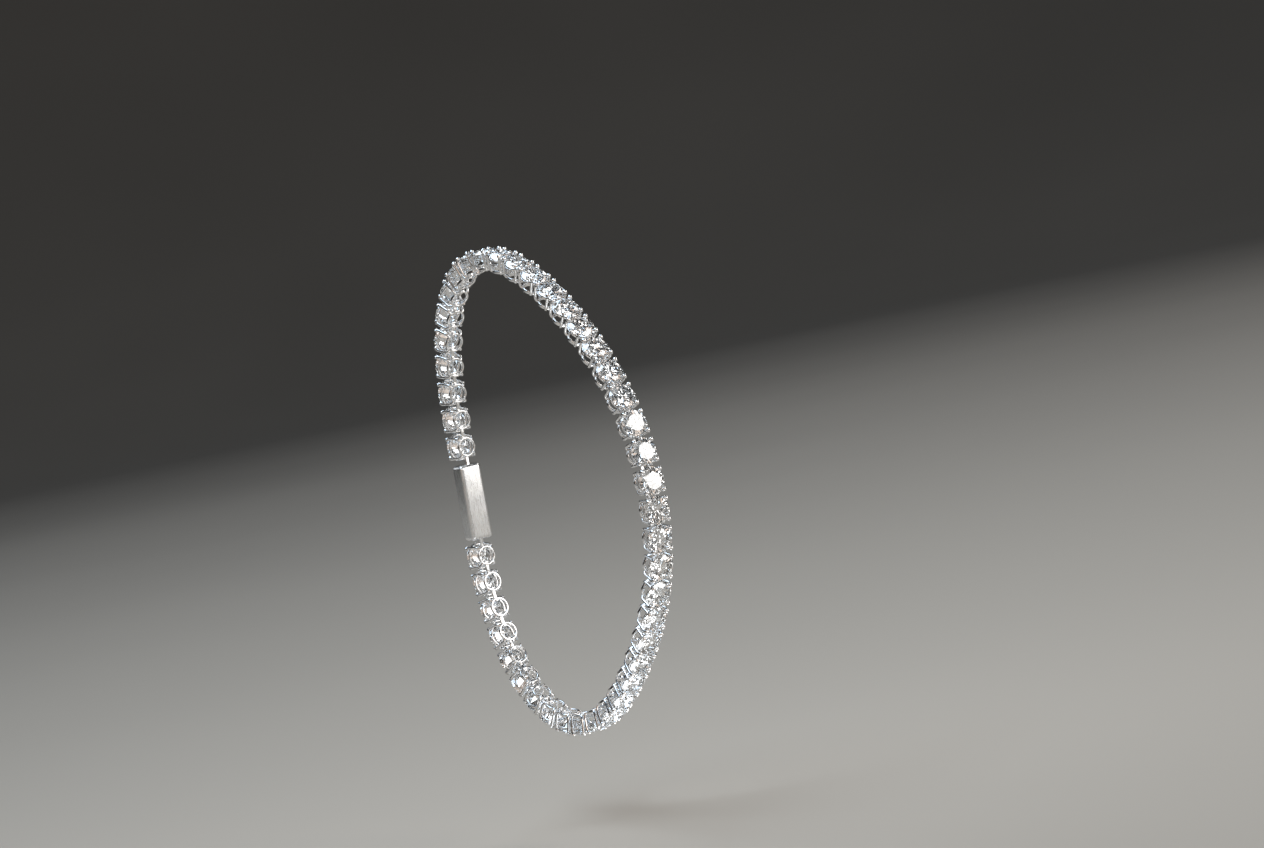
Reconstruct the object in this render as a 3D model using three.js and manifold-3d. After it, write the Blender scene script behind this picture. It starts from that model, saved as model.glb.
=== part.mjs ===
// Tennis bracelet: round brilliants in four-prong basket settings, hinged end to end in one closed
// oval row with a plain box clasp. Millimetres. The row lies in the X-Z plane as it hangs on a wrist:
// +Z up, +Y along the arm towards the hand, +X the side that shows. The origin is where the inside of
// the row rests on top of the wrist.

import * as THREE from "three";
import { ConvexGeometry } from "three/addons/geometries/ConvexGeometry.js";
import { mergeVertices } from "three/addons/utils/BufferGeometryUtils.js";
import Module from "manifold-3d";

const wasm = await Module();
wasm.setup();

// The row.
const LINK_PITCH = 4.0; // from one stone's centre to the next, measured along the girdles
const STONE_COUNT = 43;
const CLASP_PITCHES = 3; // the clasp takes the room of this many links
const RUN_COUNT = 8; // stretches of joined settings

// The oval that the girdles follow: half its width and height before the waves below shape it.
const OVAL_HALF_WIDTH = 23.9;
const OVAL_HALF_HEIGHT = 33.7;
const OVAL_WAVES = [
  { perTurn: 3, cosine: 0.072, sine: -0.011 },
  { perTurn: 4, cosine: -0.006, sine: 0.0055 },
  { perTurn: 5, cosine: 0.0075, sine: -0.005 },
];
const OVAL_STEPS = 1440;

// One stone. Heights here and below are from the girdle, outwards from the wrist.
const STONE_RADIUS = 1.9;
const TABLE_RADIUS = 1.14;
const CROWN_HEIGHT = 0.54;
const PAVILION_DEPTH = 1.62;
const GIRDLE_SIDES = 16;
const TABLE_SIDES = 8;

// One setting, an open basket: two rails round the stone and four prongs.
const BASE_HEIGHT = -2.35; // the side that faces the skin
const RAIL_THICKNESS = 0.36;
const BASE_RAIL = { sides: 8, outer: 1.46, inner: 1.1, bottom: BASE_HEIGHT };
const SEAT_RAIL = { sides: 8, outer: 1.86, inner: 1.56, bottom: -0.86 };
const PRONG_ANGLES = [45, 135, 225, 315];
const PRONG_WIDTH = 0.44;
// The prong's side view, from the foot up its outside, over its tip and down past the girdle.
const PRONG_PROFILE = [
  { radius: 0.98, height: BASE_HEIGHT },
  { radius: 1.46, height: BASE_HEIGHT },
  { radius: 2.24, height: 0 },
  { radius: 2.24, height: 0.68 },
  { radius: 1.62, height: 0.68 },
  { radius: 1.62, height: 0.42 },
  { radius: 1.98, height: 0.06 },
  { radius: 1.62, height: -0.32 },
];

// Neighbours are joined by a tongue between their baskets. The last one of a run is loose: it starts
// from a root on its own basket and ends inside the next, clear of its base rail.
const TONGUE = { start: 1.1, end: 2.9, width: 0.7, bottom: -2.2, top: -1.38 };
const TONGUE_ROOT = { start: 1.1, end: 1.6, width: 0.7, bottom: -2.2, top: -1.38 };
const LOOSE_TONGUE = { start: 1.4, end: 2.7, width: 0.5, bottom: -1.82, top: -1.38 };

// The clasp.
const CLASP = { length: 10.9, width: 3.5, bottom: BASE_HEIGHT, top: 0.2, bevel: 0.3, corner: 0.5 };
const CLASP_LUG = { start: -6.7, end: 6.7, width: 0.5, bottom: -1.82, top: -1.38 };

const metal = () => new THREE.MeshStandardMaterial({ color: 0xdfe0e3, roughness: 0.12, metalness: 1 });
const brilliant = () => new THREE.MeshStandardMaterial({ color: 0xf4f8ff, roughness: 0.02, metalness: 0 });

// Solids are joined and cut by their positions alone.
function solidOf(geometry) {
  const bare = geometry.clone();
  bare.deleteAttribute("normal");
  bare.deleteAttribute("uv");
  const merged = mergeVertices(bare, 1e-4);
  return new wasm.Manifold(
    new wasm.Mesh({
      numProp: 3,
      vertProperties: new Float32Array(merged.attributes.position.array),
      triVerts: new Uint32Array(merged.index.array),
    }),
  );
}

function geometryOf(solid) {
  const mesh = solid.getMesh();
  const geometry = new THREE.BufferGeometry();
  geometry.setAttribute("position", new THREE.BufferAttribute(new Float32Array(mesh.vertProperties), 3));
  geometry.setIndex(new THREE.BufferAttribute(new Uint32Array(mesh.triVerts), 1));
  return geometry;
}

function join(geometries) {
  return geometries.map(solidOf).reduce((whole, piece) => whole.add(piece));
}

// The points of a regular polygon round the Z axis, with a flat side facing X.
function polygon(radius, sides, height) {
  return Array.from({ length: sides }, (_, i) => {
    const angle = ((i + 0.5) * 2 * Math.PI) / sides;
    return new THREE.Vector3(radius * Math.cos(angle), radius * Math.sin(angle), height);
  });
}

// A box between two heights, along X from start to end.
function bar({ start, end, width, bottom, top }) {
  const geometry = new THREE.BoxGeometry(end - start, width, top - bottom);
  return geometry.translate((start + end) / 2, 0, (bottom + top) / 2);
}

function stoneGeometry() {
  return new ConvexGeometry([
    ...polygon(TABLE_RADIUS, TABLE_SIDES, CROWN_HEIGHT),
    ...polygon(STONE_RADIUS, GIRDLE_SIDES, 0),
    new THREE.Vector3(0, 0, -PAVILION_DEPTH),
  ]);
}

function railGeometry(rail) {
  const outline = new THREE.Shape(polygon(rail.outer, rail.sides, 0));
  outline.holes.push(new THREE.Path(polygon(rail.inner, rail.sides, 0)));
  const geometry = new THREE.ExtrudeGeometry(outline, { depth: RAIL_THICKNESS, bevelEnabled: false });
  return geometry.translate(0, 0, rail.bottom);
}

// A prong leans out from the base to its shoulder, then in over the crown to its tip.
function prongGeometry(degrees) {
  const side = new THREE.Shape(PRONG_PROFILE.map(({ radius, height }) => new THREE.Vector2(radius, height)));
  const geometry = new THREE.ExtrudeGeometry(side, { depth: PRONG_WIDTH, bevelEnabled: false });
  geometry.rotateX(Math.PI / 2).translate(0, PRONG_WIDTH / 2, 0);
  return geometry.rotateZ(THREE.MathUtils.degToRad(degrees));
}

function settingGeometry() {
  const rails = [BASE_RAIL, SEAT_RAIL].map(railGeometry);
  return geometryOf(join([...rails, ...PRONG_ANGLES.map(prongGeometry)]));
}

function claspGeometry() {
  const { length, width, bottom, top, bevel, corner } = CLASP;
  const x = length / 2 - bevel;
  const low = bottom + bevel;
  const high = top - bevel;
  const outline = new THREE.Shape();
  outline.moveTo(-x, low);
  outline.lineTo(x, low);
  outline.lineTo(x, high - corner);
  outline.lineTo(x - corner, high);
  outline.lineTo(corner - x, high);
  outline.lineTo(-x, high - corner);
  const box = new THREE.ExtrudeGeometry(outline, {
    depth: width - 2 * bevel,
    bevelThickness: bevel,
    bevelSize: bevel,
    bevelSegments: 1,
  });
  box.rotateX(Math.PI / 2).translate(0, width / 2 - bevel, 0);
  return geometryOf(join([box, bar(CLASP_LUG)]));
}

// The oval at one angle, turning from +X towards +Z.
function ovalPoint(angle) {
  const swell = OVAL_WAVES.reduce(
    (sum, wave) =>
      sum + wave.cosine * Math.cos(wave.perTurn * angle) + wave.sine * Math.sin(wave.perTurn * angle),
    1,
  );
  return new THREE.Vector3(
    OVAL_HALF_WIDTH * swell * Math.cos(angle),
    0,
    OVAL_HALF_HEIGHT * swell * Math.sin(angle),
  );
}

// The oval as a closed run of points from the middle of the back, up, over the top and round the
// front, scaled so that the links and the clasp just fill it, with its inside top at the origin.
function girdleLine() {
  const points = [];
  for (let i = 0; i <= OVAL_STEPS; i++) points.push(ovalPoint(Math.PI - (i * 2 * Math.PI) / OVAL_STEPS));
  let length = 0;
  const distances = points.map((point, i) => (length += i ? point.distanceTo(points[i - 1]) : 0));
  const wanted = (STONE_COUNT + CLASP_PITCHES) * LINK_PITCH;
  const scale = wanted / length;
  const top = points.reduce((highest, point) => (point.z > highest.z ? point : highest));
  const origin = top.clone().multiplyScalar(scale);
  origin.z += BASE_HEIGHT;
  return {
    points: points.map((point) => point.clone().multiplyScalar(scale).sub(origin)),
    distances: distances.map((distance) => distance * scale),
    length: wanted,
  };
}

const line = girdleLine();

function pointAt(distance) {
  const wrapped = ((distance % line.length) + line.length) % line.length;
  const next = line.distances.findIndex((d) => d > wrapped);
  const before = next - 1;
  const part = (wrapped - line.distances[before]) / (line.distances[next] - line.distances[before]);
  return line.points[before].clone().lerp(line.points[next], part);
}

// Where a piece stands: X along the row, Y across it, Z outwards.
function placeAt(distance) {
  const along = pointAt(distance + LINK_PITCH / 2).sub(pointAt(distance - LINK_PITCH / 2)).normalize();
  const across = new THREE.Vector3(0, 1, 0);
  const out = along.clone().cross(across);
  return new THREE.Matrix4().makeBasis(along, across, out).setPosition(pointAt(distance));
}

// Links are counted from the clasp, over the top of the wrist first.
function linkDistance(index) {
  return (CLASP_PITCHES / 2 + 0.5 + index) * LINK_PITCH;
}

const setting = settingGeometry();
const stone = stoneGeometry();
const twoDigits = (number) => String(number).padStart(2, "0");

// Settings from one link up to another, with a straight tongue halfway between each two of them.
function runGeometry(first, last) {
  const pieces = [];
  for (let i = first; i < last; i++) pieces.push(setting.clone().applyMatrix4(placeAt(linkDistance(i))));
  for (let i = first; i < last - 1; i++) {
    const tongue = bar(TONGUE).translate(-LINK_PITCH / 2, 0, 0);
    pieces.push(tongue.applyMatrix4(placeAt(linkDistance(i + 0.5))));
  }
  if (last < STONE_COUNT) {
    const end = placeAt(linkDistance(last - 1));
    pieces.push(bar(TONGUE_ROOT).applyMatrix4(end), bar(LOOSE_TONGUE).applyMatrix4(end));
  }
  return geometryOf(join(pieces));
}

const bracelet = new THREE.Group();

function addPiece(name, geometry, material, matrix) {
  const mesh = new THREE.Mesh(geometry, material);
  mesh.name = name;
  if (matrix) mesh.applyMatrix4(matrix);
  bracelet.add(mesh);
}

for (let i = 0; i < STONE_COUNT; i++) {
  addPiece("stone_" + twoDigits(i + 1), stone, brilliant(), placeAt(linkDistance(i)));
}
for (let run = 0; run < RUN_COUNT; run++) {
  const first = Math.round((run * STONE_COUNT) / RUN_COUNT);
  const last = Math.round(((run + 1) * STONE_COUNT) / RUN_COUNT);
  addPiece("setting_run_" + (run + 1), runGeometry(first, last), metal());
}
addPiece("clasp", claspGeometry(), metal(), placeAt(0));

export default bracelet;
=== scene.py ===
import math
import random

import bmesh
import bpy
from mathutils import Matrix, Vector


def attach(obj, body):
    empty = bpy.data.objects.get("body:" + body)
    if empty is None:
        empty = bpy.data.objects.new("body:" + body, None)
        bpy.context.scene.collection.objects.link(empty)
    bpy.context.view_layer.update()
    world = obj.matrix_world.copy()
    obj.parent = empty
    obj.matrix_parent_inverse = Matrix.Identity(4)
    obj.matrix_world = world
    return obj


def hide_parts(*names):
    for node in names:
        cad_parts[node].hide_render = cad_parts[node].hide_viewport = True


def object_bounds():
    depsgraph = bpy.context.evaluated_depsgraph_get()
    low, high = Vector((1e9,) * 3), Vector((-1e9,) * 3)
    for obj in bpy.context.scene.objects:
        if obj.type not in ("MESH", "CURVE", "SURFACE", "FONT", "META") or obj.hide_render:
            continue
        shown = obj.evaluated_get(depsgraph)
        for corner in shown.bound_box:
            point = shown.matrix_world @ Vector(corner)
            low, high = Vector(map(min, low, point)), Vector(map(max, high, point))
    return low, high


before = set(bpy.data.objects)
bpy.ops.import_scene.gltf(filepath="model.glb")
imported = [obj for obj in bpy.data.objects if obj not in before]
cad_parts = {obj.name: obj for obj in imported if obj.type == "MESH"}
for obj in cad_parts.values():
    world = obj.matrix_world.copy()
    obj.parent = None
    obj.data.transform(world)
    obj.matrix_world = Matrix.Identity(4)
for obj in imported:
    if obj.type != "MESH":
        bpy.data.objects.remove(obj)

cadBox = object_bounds()
metres = Matrix.Scale(0.001, 4)  # the pieces are shaped in millimetres
sharpEdge = 40  # degrees between two faces of the metal, past which the edge shows
random.seed(17)
print("frame loaded:", len(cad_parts), "nodes")


# the oval that the girdles follow, in millimetres, and how many links fill it
row = {
    "pitch": 4.0,
    "stones": 43,
    "runs": 8,
    "claspPitches": 3,
    "halfWidth": 23.9,
    "halfHeight": 33.7,
    "waves": [
        {"perTurn": 3, "cosine": 0.072, "sine": -0.011},
        {"perTurn": 4, "cosine": -0.006, "sine": 0.0055},
        {"perTurn": 5, "cosine": 0.0075, "sine": -0.005},
    ],
    "steps": 1440,
    "skinSide": -2.35,  # the lowest face of a setting, from the girdle
}


def ovalPoint(angle):
    swell = 1.0
    for wave in row["waves"]:
        turn = wave["perTurn"] * angle
        swell += wave["cosine"] * math.cos(turn) + wave["sine"] * math.sin(turn)
    x = row["halfWidth"] * swell * math.cos(angle)
    z = row["halfHeight"] * swell * math.sin(angle)
    return Vector((x, 0, z))


def girdleLine():
    # from the middle of the back, up and over the top, scaled so that the links just fill it
    steps = row["steps"]
    points = [ovalPoint(math.pi - i * 2 * math.pi / steps) for i in range(steps + 1)]
    distances = [0.0]
    for before, after in zip(points, points[1:]):
        distances.append(distances[-1] + (after - before).length)
    scale = (row["stones"] + row["claspPitches"]) * row["pitch"] / distances[-1]
    top = max(points, key=lambda point: point.z)
    origin = top * scale + Vector((0, 0, row["skinSide"]))
    return [point * scale - origin for point in points], [distance * scale for distance in distances]


linePoints, lineDistances = girdleLine()


def pointAt(distance):
    wrapped = distance % lineDistances[-1]
    after = next(i for i, d in enumerate(lineDistances) if d > wrapped)
    part = (wrapped - lineDistances[after - 1]) / (lineDistances[after] - lineDistances[after - 1])
    return linePoints[after - 1].lerp(linePoints[after], part)


def placeAt(distance):
    # X along the row, Y across it, Z away from the wrist
    half = row["pitch"] / 2
    along = (pointAt(distance + half) - pointAt(distance - half)).normalized()
    across = Vector((0, 1, 0))
    out = along.cross(across)
    turn = Matrix((along, across, out)).transposed().to_4x4()
    return Matrix.Translation(pointAt(distance)) @ turn


def linkDistance(index):
    return (row["claspPitches"] / 2 + 0.5 + index) * row["pitch"]


def runOf(index):
    # the CAD run that holds this setting
    for run in range(row["runs"]):
        if index < round((run + 1) * row["stones"] / row["runs"]):
            return "setting_run_%d" % (run + 1)


def addPiece(name, mesh, material, replaced):
    mesh.materials.clear()
    mesh.materials.append(material)
    piece = bpy.data.objects.new(name, mesh)
    bpy.context.collection.objects.link(piece)
    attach(piece, "root")
    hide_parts(replaced)


def meshOf(bm, name):
    mesh = bpy.data.meshes.new(name)
    bm.to_mesh(mesh)
    bm.free()
    return mesh


def placed(mesh, name, matrix):
    copy = mesh.copy()
    copy.name = name
    copy.transform(metres @ matrix)
    return copy


def smoothen(mesh):
    mesh.shade_smooth()
    mesh.set_sharp_from_angle(angle=math.radians(sharpEdge))


def edgesOf(verts):
    # each edge once, in the order of the vertices
    return list(dict.fromkeys(edge for vert in verts for edge in vert.link_edges))


def growRing(bm, edges):
    # extrudes a ring of edges, and gives the new ring's vertices and edges
    grown = bmesh.ops.extrude_edge_only(bm, edges=edges)["geom"]
    ring = [item for item in grown if isinstance(item, bmesh.types.BMVert)]
    edges = [item for item in grown if isinstance(item, bmesh.types.BMEdge)]
    return ring, [edge for edge in edges if all(vert in ring for vert in edge.verts)]


def sweep(bm, stations, sides):
    # a round wire through (point, radius) stations, closed at both ends
    ring = bmesh.ops.create_circle(bm, cap_ends=True, radius=1, segments=sides)["verts"]
    edges = edgesOf(ring)
    last = Matrix()
    for i, (point, radius) in enumerate(stations):
        before = stations[max(i - 1, 0)][0]
        after = stations[min(i + 1, len(stations) - 1)][0]
        turn = (after - before).to_track_quat("Z", "Y").to_matrix().to_4x4()
        here = Matrix.Translation(point) @ turn @ Matrix.Scale(radius, 4)
        if i:
            ring, edges = growRing(bm, edges)
        bmesh.ops.transform(bm, matrix=here @ last.inverted(), verts=ring)
        last = here
    bmesh.ops.contextual_create(bm, geom=edges)


def spinBand(bm, band):
    # a ring round the Z axis whose section is a rectangle with rounded corners
    made = bmesh.ops.create_grid(bm, x_segments=1, y_segments=1, size=0.5)["verts"]
    size = Matrix.Diagonal((band["thickness"], band["height"], 1, 1))
    upright = Matrix.Rotation(math.radians(90), 4, "X")
    middle = Matrix.Translation((band["radius"], 0, band["level"]))
    bmesh.ops.transform(bm, matrix=middle @ upright @ size, verts=made)
    corners = bmesh.ops.bevel(
        bm, geom=made, offset=band["round"], offset_type="OFFSET", segments=band["roundSteps"],
        profile=0.5, affect="VERTICES", material=-1,
    )["verts"]
    edges = edgesOf(corners)
    faces = corners[0].link_faces[:]
    bmesh.ops.delete(bm, geom=faces, context="FACES_ONLY")
    bmesh.ops.spin(
        bm, geom=edges, cent=(0, 0, 0), axis=(0, 0, 1), dvec=(0, 0, 0), angle=math.radians(360),
        steps=band["sides"], use_merge=True, use_duplicate=False,
    )


def roundedBlock(bm, block):
    made = bmesh.ops.create_cube(bm, size=1)["verts"]
    place = Matrix.Translation(block["middle"]) @ Matrix.Diagonal((*block["size"], 1))
    bmesh.ops.transform(bm, matrix=place, verts=made)
    bmesh.ops.bevel(
        bm, geom=edgesOf(made), offset=block["round"], offset_type="OFFSET",
        segments=block["roundSteps"], profile=0.5, affect="EDGES", material=-1,
    )


def nodeMaterial(name):
    material = bpy.data.materials.new(name)
    material.use_nodes = True
    return material, material.node_tree.nodes, material.node_tree.links


def addNoise(nodes, links, scale, detail, stretch=(1, 1, 1), turn=(0, 0, 0)):
    # stretch draws the pattern out along the turned axes
    place = nodes.new("ShaderNodeTexCoord")
    mapping = nodes.new("ShaderNodeMapping")
    mapping.vector_type = "TEXTURE"
    mapping.inputs["Rotation"].default_value = turn
    mapping.inputs["Scale"].default_value = stretch
    noise = nodes.new("ShaderNodeTexNoise")
    noise.inputs["Scale"].default_value = scale
    noise.inputs["Detail"].default_value = detail
    links.new(place.outputs["Object"], mapping.inputs["Vector"])
    links.new(mapping.outputs["Vector"], noise.inputs["Vector"])
    return noise.outputs["Fac"]


def addRange(nodes, links, source, low, high, fromLow=0.3, fromHigh=0.7):
    spread = nodes.new("ShaderNodeMapRange")
    spread.inputs["From Min"].default_value = fromLow
    spread.inputs["From Max"].default_value = fromHigh
    spread.inputs["To Min"].default_value = low
    spread.inputs["To Max"].default_value = high
    links.new(source, spread.inputs["Value"])
    return spread.outputs["Result"]


def addTints(nodes, links, source, dark, light, darkUpTo=0.35, lightFrom=0.65):
    ramp = nodes.new("ShaderNodeValToRGB")
    ramp.color_ramp.elements[0].position = darkUpTo
    ramp.color_ramp.elements[0].color = (*dark, 1)
    ramp.color_ramp.elements[1].position = lightFrom
    ramp.color_ramp.elements[1].color = (*light, 1)
    links.new(source, ramp.inputs["Fac"])
    return ramp.outputs["Color"]


# cloud, wear and grain are noise scales for each metre, and bumpDepth is in metres
metalFinish = {
    "dark": (0.86, 0.86, 0.87),
    "light": (0.95, 0.945, 0.94),
    "cloud": 420,
    "cloudDetail": 4,
    "wearDetail": 6,
    "grainDetail": 3,
    "polished": {
        "wear": 1500, "smooth": 0.13, "worn": 0.26,  # the roughness between the worn spots and on them
        "grain": 5200, "bump": 0.25, "bumpDepth": 0.000012,
    },
    "brushed": {
        "wear": 13000, "smooth": 0.2, "worn": 0.38,
        "grain": 17000, "bump": 0.4, "bumpDepth": 0.000008,
    },
    "brushLength": 24,  # how many times longer than wide the brush lines are
}


def makeMetal(name, finish, stretch=(1, 1, 1), turn=(0, 0, 0)):
    material, nodes, links = nodeMaterial(name)
    shader = nodes["Principled BSDF"]
    shader.inputs["Metallic"].default_value = 1.0
    cloud = addNoise(nodes, links, metalFinish["cloud"], metalFinish["cloudDetail"])
    tint = addTints(nodes, links, cloud, metalFinish["dark"], metalFinish["light"])
    links.new(tint, shader.inputs["Base Color"])
    wear = addNoise(nodes, links, finish["wear"], metalFinish["wearDetail"], stretch, turn)
    roughness = addRange(nodes, links, wear, finish["smooth"], finish["worn"])
    links.new(roughness, shader.inputs["Roughness"])
    grain = addNoise(nodes, links, finish["grain"], metalFinish["grainDetail"], stretch, turn)
    bump = nodes.new("ShaderNodeBump")
    bump.inputs["Strength"].default_value = finish["bump"]
    bump.inputs["Distance"].default_value = finish["bumpDepth"]
    links.new(grain, bump.inputs["Height"])
    links.new(bump.outputs["Normal"], shader.inputs["Normal"])
    return material


stoneFinish = {
    "dark": (0.93, 0.965, 1.0),
    "light": (1.0, 1.0, 1.0),
    "cloud": 160,
    "cloudDetail": 1,
    "refraction": 2.65,
    "turns": 16,  # how often light may turn about inside
}


def makeStone():
    material, nodes, links = nodeMaterial("clearStone")
    shader = nodes["Principled BSDF"]
    shader.inputs["Transmission Weight"].default_value = 1.0
    shader.inputs["IOR"].default_value = stoneFinish["refraction"]
    shader.inputs["Roughness"].default_value = 0.0
    # neighbours differ slightly, from colourless to a breath of blue
    cloud = addNoise(nodes, links, stoneFinish["cloud"], stoneFinish["cloudDetail"])
    tint = addTints(nodes, links, cloud, stoneFinish["dark"], stoneFinish["light"])
    links.new(tint, shader.inputs["Base Color"])
    return material


polishedMetal = makeMetal("polishedRhodium", metalFinish["polished"])
brushedMetal = makeMetal(
    "brushedRhodium", metalFinish["brushed"], (metalFinish["brushLength"], 1, 1), placeAt(0).to_euler()
)
clearStone = makeStone()
print("materials made")


# the stone is a round brilliant, cut facet by facet out of a rod
brilliant = {
    "radius": 1.96,
    "girdle": 0.06,
    "tableRadius": 1.22,
    "crownAngle": 34.0,
    "starAngle": 22.0,
    "pavilionAngle": 40.75,
    "lowerHalves": 0.77,  # how far they reach from the girdle to the point
    "mains": 8,  # bezels above the girdle, and as many main facets below it
    "roundness": 64,
    "rod": 6.0,
    "levelTable": 1e-4,  # the table's slope, level but counted as facing up
    "loose": 0.7,  # degrees that a stone leans in its setting
}
mainSector = 360 / brilliant["mains"]  # degrees


def cutFacet(bm, turn, slope, radius, height):
    # cuts along a plane that leans by slope towards the axis, through a point at that radius and height
    facing = math.radians(turn)
    lean = math.radians(slope)
    out = Vector((math.cos(facing), math.sin(facing), 0))
    normal = out * math.sin(abs(lean)) + Vector((0, 0, math.copysign(math.cos(lean), slope)))
    cut = bmesh.ops.bisect_plane(
        bm, geom=bm.verts[:] + bm.edges[:] + bm.faces[:], dist=1e-6,
        plane_co=out * radius + Vector((0, 0, height)), plane_no=normal, clear_outer=True,
    )
    rim = [item for item in cut["geom_cut"] if isinstance(item, bmesh.types.BMEdge)]
    if len(rim) > 2:
        bmesh.ops.contextual_create(bm, geom=rim)


def slopeBetween(inner, outer):
    # the slope in degrees from one (radius, height) to another
    return math.degrees(math.atan2(inner[1] - outer[1], outer[0] - inner[0]))


def makeBrilliant():
    radius = brilliant["radius"]
    edge = brilliant["girdle"] / 2
    tableRadius = brilliant["tableRadius"]
    crown = math.tan(math.radians(brilliant["crownAngle"]))
    star = math.tan(math.radians(brilliant["starAngle"]))
    pavilion = math.tan(math.radians(brilliant["pavilionAngle"]))
    # how near the axis a chord comes, as a part of the radius: over a main's sector, and over half of one
    eighth = math.cos(math.radians(mainSector / 2))
    sixteenth = math.cos(math.radians(mainSector / 4))
    tableHeight = edge + (radius - tableRadius) * crown

    # where a star's tip meets the two bezels beside it
    starTop = tableRadius * eighth
    starReach = (tableRadius * crown - starTop * star) / (eighth * crown - star)
    starHeight = tableHeight - (starReach - starTop) * star
    upperSlope = slopeBetween((starReach * sixteenth, starHeight), (radius * sixteenth, edge))

    # where two lower halves meet on the line between two mains
    point = -edge - radius * pavilion
    lowerReach = radius * (1 - brilliant["lowerHalves"])
    lowerHeight = point + lowerReach * eighth * pavilion
    lowerSlope = slopeBetween((lowerReach * sixteenth, -lowerHeight), (radius * sixteenth, edge))

    bm = bmesh.new()
    bmesh.ops.create_cone(
        bm, cap_ends=True, segments=brilliant["roundness"], radius1=radius, radius2=radius,
        depth=brilliant["rod"],
    )
    cutFacet(bm, 0, brilliant["levelTable"], 0, tableHeight)
    for i in range(brilliant["mains"]):
        turn = mainSector * i
        cutFacet(bm, turn, brilliant["crownAngle"], radius, edge)
        cutFacet(bm, turn, -brilliant["pavilionAngle"], radius, -edge)
        cutFacet(bm, turn + mainSector / 2, brilliant["starAngle"], starTop, tableHeight)
        for side in (mainSector / 4, mainSector * 3 / 4):
            cutFacet(bm, turn + side, upperSlope, radius * sixteenth, edge)
            cutFacet(bm, turn + side, -lowerSlope, radius * sixteenth, -edge)
    bmesh.ops.remove_doubles(bm, verts=bm.verts, dist=1e-5)
    bmesh.ops.recalc_face_normals(bm, faces=bm.faces)
    return meshOf(bm, "brilliant")


brilliantMesh = makeBrilliant()
loose = math.radians(brilliant["loose"])
for i in range(row["stones"]):
    spinAndTilt = (
        Matrix.Rotation(random.uniform(0, math.radians(mainSector)), 4, "Z")
        @ Matrix.Rotation(random.gauss(0, loose), 4, "X")
        @ Matrix.Rotation(random.gauss(0, loose), 4, "Y")
    )
    name = "brilliant_%02d" % (i + 1)
    mesh = placed(brilliantMesh, name, placeAt(linkDistance(i)) @ spinAndTilt)
    addPiece(name, mesh, clearStone, "stone_%02d" % (i + 1))
print("stones set:", len(brilliantMesh.polygons), "facets each")


# the setting is an open basket: a band by the skin, a band round the stone and four prongs
basket = {
    "baseBand": {
        "radius": 1.26, "thickness": 0.28, "height": 0.46, "level": -2.12,
        "round": 0.09, "roundSteps": 3, "sides": 40,
    },
    "seatBand": {
        "radius": 1.76, "thickness": 0.2, "height": 0.2, "level": -0.47,
        "round": 0.07, "roundSteps": 3, "sides": 40,
    },
    "corners": ((1, 1), (-1, 1), (-1, -1), (1, -1)),
    "prongSides": 12,
    # from the foot up: the wire's middle along and across the row, its height and its half thickness
    "prong": [
        {"along": 0.95, "across": 0.9, "height": -2.32, "half": 0.15},
        {"along": 1.16, "across": 1.06, "height": -2.2, "half": 0.19},
        {"along": 1.32, "across": 1.17, "height": -1.98, "half": 0.2},
        {"along": 1.4, "across": 1.25, "height": -1.6, "half": 0.2},
        {"along": 1.44, "across": 1.34, "height": -1.0, "half": 0.2},
        {"along": 1.46, "across": 1.42, "height": -0.5, "half": 0.205},
        {"along": 1.49, "across": 1.48, "height": 0.0, "half": 0.215},
        {"along": 1.46, "across": 1.46, "height": 0.2, "half": 0.27},
    ],
    # the ball's middle and half thickness, its lean towards the stone, and how far round it closes
    "tip": {
        "along": 1.38, "across": 1.38, "height": 0.36, "half": 0.34,
        "lean": 30, "bend": 84, "steps": 6,
    },
}

# a tongue stands halfway between two baskets: its foot is soldered to the first, and its eye sits round a
# pin near the second
tongue = {
    "bar": {"size": (2.0, 0.56, 0.3), "middle": (0, 0, -1.66), "round": 0.09, "roundSteps": 3},
    "foot": {"size": (0.36, 0.56, 0.6), "middle": (-0.82, 0, -1.82), "round": 0.09, "roundSteps": 3},
    "eye": {"radius": 0.21, "width": 0.72},
    "pin": {"radius": 0.1, "width": 1.9},
    "hinge": (1.0, 0, -1.66),
    "rodSides": 20,
    "rimRound": 0.2,  # of the rod's radius
    "rimSteps": 2,
}


def addProng(bm, corner):
    # the wire stands at one corner, and its tip is a ball that leans in over the crown
    alongSide, acrossSide = corner
    stations = [
        (Vector((alongSide * s["along"], acrossSide * s["across"], s["height"])), s["half"])
        for s in basket["prong"]
    ]
    tip = basket["tip"]
    middle = Vector((alongSide * tip["along"], acrossSide * tip["across"], tip["height"]))
    inwards = Vector((-middle.x, -middle.y, 0)).normalized()
    lean = math.radians(tip["lean"])
    axis = inwards * math.sin(lean) + Vector((0, 0, math.cos(lean)))
    for i in range(tip["steps"]):
        bend = math.radians(tip["bend"]) * i / (tip["steps"] - 1)
        stations.append((middle + axis * tip["half"] * math.sin(bend), tip["half"] * math.cos(bend)))
    sweep(bm, stations, basket["prongSides"])


def addRod(bm, rod):
    # a round rod across the row, through the hinge
    radius, width = rod["radius"], rod["width"]
    place = Matrix.Translation(tongue["hinge"]) @ Matrix.Rotation(math.radians(90), 4, "X")
    made = bmesh.ops.create_cone(
        bm, cap_ends=True, segments=tongue["rodSides"], radius1=radius, radius2=radius, depth=width,
        matrix=place,
    )["verts"]
    rims = [edge for edge in edgesOf(made) if abs(edge.verts[0].co.y - edge.verts[1].co.y) < width / 2]
    bmesh.ops.bevel(
        bm, geom=rims, offset=radius * tongue["rimRound"], offset_type="OFFSET",
        segments=tongue["rimSteps"], profile=0.5, affect="EDGES", material=-1,
    )


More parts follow.
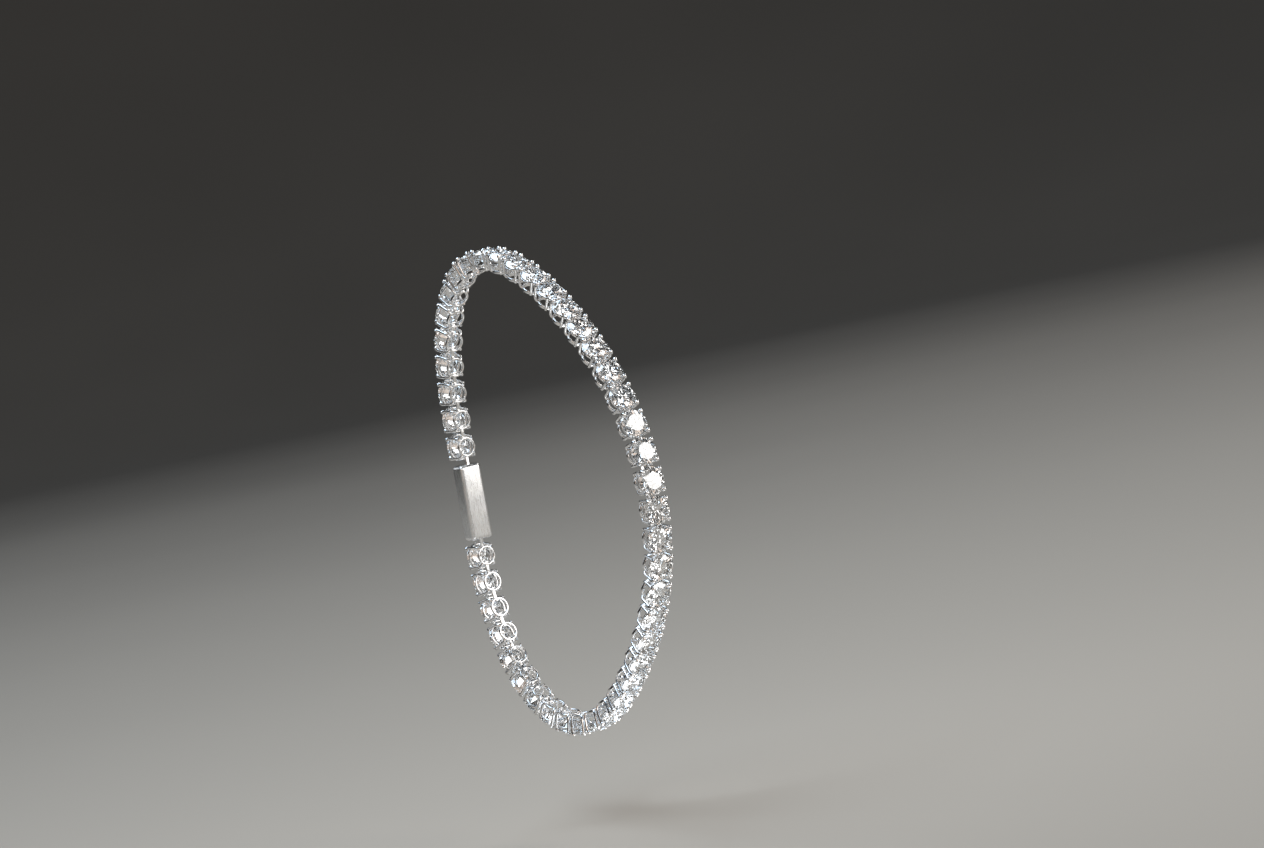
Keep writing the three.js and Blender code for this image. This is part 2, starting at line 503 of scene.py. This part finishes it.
def makeSetting():
    bm = bmesh.new()
    spinBand(bm, basket["baseBand"])
    spinBand(bm, basket["seatBand"])
    for corner in basket["corners"]:
        addProng(bm, corner)
    bmesh.ops.recalc_face_normals(bm, faces=bm.faces)
    return meshOf(bm, "setting")


def makeTongue():
    bm = bmesh.new()
    roundedBlock(bm, tongue["bar"])
    roundedBlock(bm, tongue["foot"])
    addRod(bm, tongue["eye"])
    addRod(bm, tongue["pin"])
    bmesh.ops.recalc_face_normals(bm, faces=bm.faces)
    return meshOf(bm, "tongue")


settingMesh = makeSetting()
tongueMesh = makeTongue()
for i in range(row["stones"]):
    name = "basket_%02d" % (i + 1)
    bm = bmesh.new()
    bm.from_mesh(settingMesh)
    bmesh.ops.transform(bm, matrix=metres @ placeAt(linkDistance(i)), verts=bm.verts)
    if i + 1 < row["stones"]:
        before = set(bm.verts)
        bm.from_mesh(tongueMesh)
        made = [vert for vert in bm.verts if vert not in before]
        bmesh.ops.transform(bm, matrix=metres @ placeAt(linkDistance(i + 0.5)), verts=made)
    mesh = meshOf(bm, name)
    smoothen(mesh)
    addPiece(name, mesh, polishedMetal, runOf(i))
print("settings made:", len(settingMesh.polygons), "faces each")


# the clasp is a plain box, and one bar through it makes the lug at each end
clasp = {
    "box": {"size": (10.9, 3.5, 2.5), "middle": (0, 0, -1.1), "round": 0.55, "roundSteps": 8},
    "lugs": {"size": (13.4, 0.56, 0.36), "middle": (0, 0, -1.6), "round": 0.12, "roundSteps": 3},
}


def makeClasp():
    bm = bmesh.new()
    roundedBlock(bm, clasp["box"])
    roundedBlock(bm, clasp["lugs"])
    bmesh.ops.recalc_face_normals(bm, faces=bm.faces)
    mesh = meshOf(bm, "clasp")
    smoothen(mesh)
    return mesh


claspMesh = makeClasp()
addPiece("boxClasp", placed(claspMesh, "boxClasp", placeAt(0)), brushedMetal, "clasp")
print("clasp made")


# a pale floor that curves up into a darker backdrop all round; the darkening is painted shade, the
# paper's colour fading from pale by the bracelet to dark further away
low, high = cadBox
middle = (Vector(low) + Vector(high)) / 2
stageSettings = {
    "gap": 0.012,  # under the lowest stone
    "flatRadius": 2.0,
    "curve": 0.8,
    "wall": 0.9,
    "steps": 16,
    "segments": 128,
    "paintedShadeHalfway": 0.5,  # the distance at which the painted shade takes the paper halfway from pale to dark
    "pale": (0.54, 0.465, 0.39),
    # the colour of the painted shade, far from the bracelet and on the backdrop
    "dark": (0.034, 0.029, 0.024),
    "roughness": 0.9,
    "cloud": 3,
    "cloudDetail": 2,
    "mottle": 0.015,
}


def makePaperWithPaintedShade():
    material, nodes, links = nodeMaterial("paperWithPaintedShade")
    shader = nodes["Principled BSDF"]
    shader.inputs["Roughness"].default_value = stageSettings["roughness"]
    place = nodes.new("ShaderNodeTexCoord")
    # painted shade: the colour fades from pale to dark with distance from the bracelet's middle, plus a
    # faint random mottle
    reach = nodes.new("ShaderNodeVectorMath")
    reach.operation = "DISTANCE"
    reach.inputs[1].default_value = middle
    links.new(place.outputs["Object"], reach.inputs[0])
    further = nodes.new("ShaderNodeMath")
    further.inputs[1].default_value = stageSettings["paintedShadeHalfway"]
    links.new(reach.outputs["Value"], further.inputs[0])
    paintedShadeFade = nodes.new("ShaderNodeMath")
    paintedShadeFade.operation = "DIVIDE"
    paintedShadeFade.inputs[0].default_value = stageSettings["paintedShadeHalfway"]
    links.new(further.outputs["Value"], paintedShadeFade.inputs[1])
    noise = addNoise(nodes, links, stageSettings["cloud"], stageSettings["cloudDetail"])
    cloud = addRange(nodes, links, noise, -stageSettings["mottle"], stageSettings["mottle"])
    both = nodes.new("ShaderNodeMath")
    both.operation = "ADD"
    both.use_clamp = True
    links.new(paintedShadeFade.outputs["Value"], both.inputs[0])
    links.new(cloud, both.inputs[1])
    tone = nodes.new("ShaderNodeMix")
    tone.data_type = "RGBA"
    tone.inputs["A"].default_value = (*stageSettings["dark"], 1)
    tone.inputs["B"].default_value = (*stageSettings["pale"], 1)
    links.new(both.outputs["Value"], tone.inputs["Factor"])
    links.new(tone.outputs["Result"], shader.inputs["Base Color"])
    return material


def makeFloor():
    bm = bmesh.new()
    ring = bmesh.ops.create_circle(
        bm, cap_ends=True, radius=stageSettings["flatRadius"], segments=stageSettings["segments"]
    )["verts"]
    edges = edgesOf(ring)
    radius, height = stageSettings["flatRadius"], 0.0
    for i in range(1, stageSettings["steps"] + 2):
        bend = math.radians(90) * min(i, stageSettings["steps"]) / stageSettings["steps"]
        nextRadius = stageSettings["flatRadius"] + stageSettings["curve"] * math.sin(bend)
        nextHeight = stageSettings["curve"] * (1 - math.cos(bend))
        if i > stageSettings["steps"]:
            nextHeight += stageSettings["wall"]
        ring, edges = growRing(bm, edges)
        growth = nextRadius / radius
        bmesh.ops.scale(bm, vec=(growth, growth, 1), verts=ring)
        bmesh.ops.translate(bm, vec=(0, 0, nextHeight - height), verts=ring)
        radius, height = nextRadius, nextHeight
    bmesh.ops.recalc_face_normals(bm, faces=bm.faces)
    bmesh.ops.translate(bm, vec=(middle.x, middle.y, low[2] - stageSettings["gap"]), verts=bm.verts)
    mesh = meshOf(bm, "floor")
    mesh.shade_smooth()
    mesh.materials.append(makePaperWithPaintedShade())
    floor = bpy.data.objects.new("floor", mesh)
    bpy.context.collection.objects.link(floor)


makeFloor()

# towards is the way from the bracelet's middle, and aside moves the light over; size is across and up in
# metres, and glow is watts for each square metre
softLights = [
    # the window that the front tables mirror
    {"name": "window", "towards": (0.79, 0.56, 0.255), "distance": 1.7, "size": (0.95, 0.97), "glow": 13,
     "colour": (1.0, 0.985, 0.96)},
    # cool sky over the row
    {"name": "sky", "towards": (-0.22, -0.2, 0.95), "distance": 1.7, "size": (1.9, 0.95), "glow": 16,
     "colour": (0.68, 0.84, 1.0)},
    # a low bank in front, which the facets scatter
    {"name": "bank", "towards": (0.9, -0.2, 0.35), "distance": 1.7, "size": (1.0, 0.5), "glow": 10,
     "colour": (1.0, 0.97, 0.93)},
    # a broad warm fill from the elbow side
    {"name": "fill", "towards": (0.55, -0.8, 0.32), "distance": 1.7, "size": (1.1, 0.8), "glow": 4,
     "colour": (1.0, 0.8, 0.66)},
    # a narrow strip high on the hand side
    {"name": "strip", "towards": (-0.1, 0.8, 0.6), "distance": 1.7, "size": (1.2, 0.3), "glow": 14,
     "colour": (1.0, 0.97, 0.93)},
    # behind, for the far links
    {"name": "back", "towards": (-0.85, -0.3, 0.4), "distance": 1.7, "size": (0.6, 0.7), "glow": 3,
     "colour": (0.9, 0.95, 1.0)},
    # a small card just over the floor under the lowest links, facing up
    {"name": "card", "towards": (0, 0, -1), "distance": 0.0455, "size": (0.034, 0.018), "glow": 9,
     "colour": (0.93, 0.97, 1.0), "aside": (0.019, -0.01, 0)},
]
roomGlow = {"colour": (0.6, 0.65, 0.72, 1), "strength": 0.1}


def addLights():
    for light in softLights:
        data = bpy.data.lights.new(light["name"], "AREA")
        data.shape = "RECTANGLE"
        data.size, data.size_y = light["size"]
        data.energy = light["glow"] * data.size * data.size_y
        data.color = light["colour"]
        lamp = bpy.data.objects.new(light["name"], data)
        towards = Vector(light["towards"]).normalized()
        aside = Vector(light.get("aside", (0, 0, 0)))
        lamp.location = middle + towards * light["distance"] + aside
        lamp.rotation_euler = towards.to_track_quat("Z", "Y").to_euler()
        lamp.visible_camera = False
        bpy.context.collection.objects.link(lamp)
    world = bpy.data.worlds.new("room")
    world.use_nodes = True
    world.node_tree.nodes["Background"].inputs["Color"].default_value = roomGlow["colour"]
    world.node_tree.nodes["Background"].inputs["Strength"].default_value = roomGlow["strength"]
    bpy.context.scene.world = world


def deepenStones():
    # light turns about inside a cut stone many times before it leaves, and the plain view keeps it white
    scene = bpy.context.scene
    scene.cycles.glossy_bounces = stoneFinish["turns"]
    scene.cycles.transmission_bounces = stoneFinish["turns"]
    scene.cycles.max_bounces = 2 * stoneFinish["turns"]
    scene.view_settings.view_transform = "Standard"


addLights()
deepenStones()

# the azimuth turns from -Y towards +X, in degrees as the other angles
cameraSettings = {
    "lens": 100,
    "aim": (0.0117, 0.0111, -0.0250),
    "azimuth": 56.3,
    "elevation": 2.7,
    "roll": 11.8,
    "distance": 0.486,
}


def addCamera():
    azimuth = math.radians(cameraSettings["azimuth"])
    elevation = math.radians(cameraSettings["elevation"])
    level = math.cos(elevation)
    back = Vector((level * math.sin(azimuth), -level * math.cos(azimuth), math.sin(elevation)))
    data = bpy.data.cameras.new("camera")
    data.lens = cameraSettings["lens"]
    camera = bpy.data.objects.new("camera", data)
    turn = back.to_track_quat("Z", "Y").to_matrix().to_4x4()
    roll = Matrix.Rotation(math.radians(-cameraSettings["roll"]), 4, "Z")
    spot = Vector(cameraSettings["aim"]) + back * cameraSettings["distance"]
    camera.matrix_world = Matrix.Translation(spot) @ turn @ roll
    bpy.context.collection.objects.link(camera)
    bpy.context.scene.camera = camera


addCamera()
print("stage, lights and camera set")
